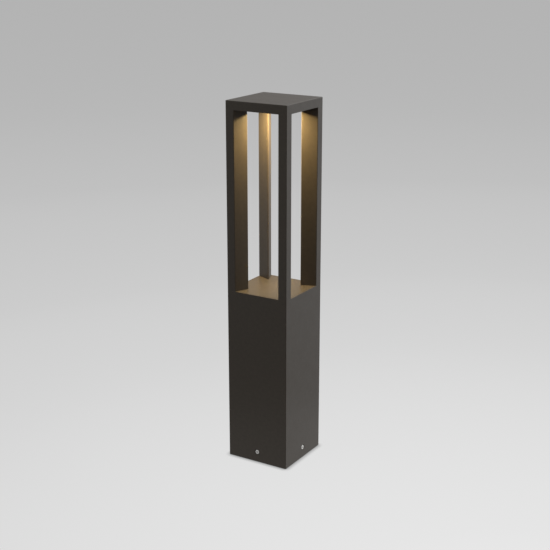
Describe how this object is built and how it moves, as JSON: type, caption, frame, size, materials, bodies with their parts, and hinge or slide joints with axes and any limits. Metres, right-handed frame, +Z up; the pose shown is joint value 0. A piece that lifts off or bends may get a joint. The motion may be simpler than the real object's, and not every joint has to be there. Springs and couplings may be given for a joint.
{
  "type": "bollard light",
  "caption": "Square bollard light: plain lower column, four slim corner posts around an open light chamber, and a flat head with a recessed downward light.",
  "frame": {"origin": "centre of the ground plate's underside, on the ground", "axes": "+Z up along the column, front face towards -Y, +X to the right"},
  "size_m": [0.12, 0.12, 0.65],
  "materials": {
    "coat": "dark bronze-grey powder coat, fine satin texture",
    "zinc_steel": "zinc-plated sheet steel",
    "stainless": "turned stainless steel",
    "seal_rubber": "black EPDM rubber",
    "silicone": "translucent silicone",
    "pad": "filled silicone heat pad",
    "board": "white solder mask on aluminium board",
    "carrier": "white ceramic chip carrier",
    "emitter": "warm white phosphor",
    "reflector_white": "white moulded reflector",
    "glass": "clear toughened glass",
    "driver_case": "light grey driver housing",
    "box_grey": "grey moulded box",
    "terminal": "off-white terminal moulding",
    "gland": "black nylon gland",
    "brass": "plain brass",
    "lead": "black lead sheath",
    "core": "core insulation",
    "earth_core": "green and yellow core insulation"
  },
  "bodies": {
    "root": {"column": "coat", "deck": "coat", "post_front_left": "coat", "post_front_right": "coat", "post_back_right": "coat", "post_back_left": "coat", "ceiling_plate": "coat", "head_cap": "coat", "bezel": "coat", "ground_plate": "zinc_steel", "lock_lugs": "zinc_steel", "gear_tray": "zinc_steel", "lock_screws": "stainless", "deck_screws": "stainless", "post_foot_screws": "stainless", "post_head_screws": "stainless", "head_screws": "stainless", "led_board_screws": "stainless", "bezel_screws": "stainless", "gear_tray_screws": "stainless", "driver_screws": "stainless", "terminal_box_screws": "stainless", "terminal_box_lid_screws": "stainless", "terminal_block_screws": "stainless", "cable_grommet": "seal_rubber", "deck_seal": "seal_rubber", "deck_sleeve": "seal_rubber", "ceiling_grommet": "seal_rubber", "head_seal": "seal_rubber", "gland_seal": "seal_rubber", "terminal_box_grommet": "seal_rubber", "glass_seal": "silicone", "thermal_pad": "pad", "led_board": "board", "led_chip_carrier": "carrier", "led_emitter": "emitter", "reflector": "reflector_white", "glass": "glass", "driver": "driver_case", "terminal_box": "box_grey", "terminal_box_lid": "box_grey", "terminal_block": "terminal", "gland_body": "gland", "gland_cap": "gland", "gland_nut": "gland", "earth_screw": "brass", "earth_lug": "brass", "led_lead": "lead", "driver_supply_lead": "lead", "led_lead_cores": "core", "driver_supply_cores": "core", "earth_lead": "earth_core"}
  },
  "joints": []
}
